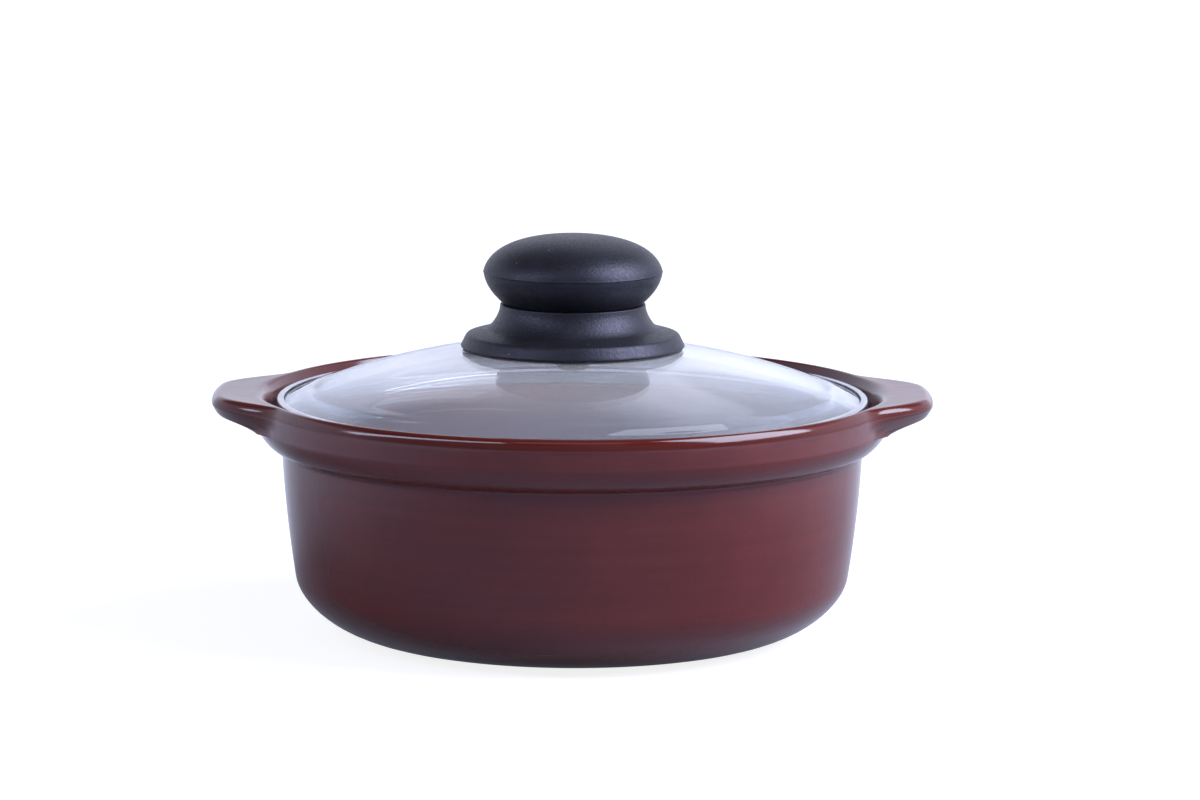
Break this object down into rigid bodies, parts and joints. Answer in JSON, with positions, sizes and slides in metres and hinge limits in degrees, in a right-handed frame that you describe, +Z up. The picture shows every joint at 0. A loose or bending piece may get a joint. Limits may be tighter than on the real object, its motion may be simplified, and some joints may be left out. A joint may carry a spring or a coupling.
{
  "type": "clay saucepan with glass lid",
  "caption": "Round glazed clay saucepan with lug handles, and a domed glass lid with a steel rim band and a flared black knob, which lifts off.",
  "frame": {"origin": "middle of the flat base, on the surface that the pot stands on", "axes": "+X through the middle of one lug handle, +Z up through the knob"},
  "size_m": [0.2182, 0.1924, 0.1219],
  "materials": {
    "glazed_clay": "satin",
    "lid_glass": "gloss",
    "band_steel": "brushed",
    "knob_black": "satin",
    "insert_brass": "satin",
    "fixing_steel": "brushed",
    "silicone": "matte"
  },
  "bodies": {
    "pot": {"pot_body": "glazed_clay"},
    "lid": {"lid_glass": "lid_glass", "lid_rim_band": "band_steel", "knob_skirt": "knob_black", "knob_grip": "knob_black", "knob_insert": "insert_brass", "knob_screw": "fixing_steel", "under_washer": "fixing_steel", "under_gasket": "silicone", "skirt_ring": "silicone"}
  },
  "joints": [
    {"name": "lid_lift", "type": "slide", "parent": "pot", "child": "lid", "axis": [0, 0, 1], "range_m": [0, 0.12]}
  ]
}
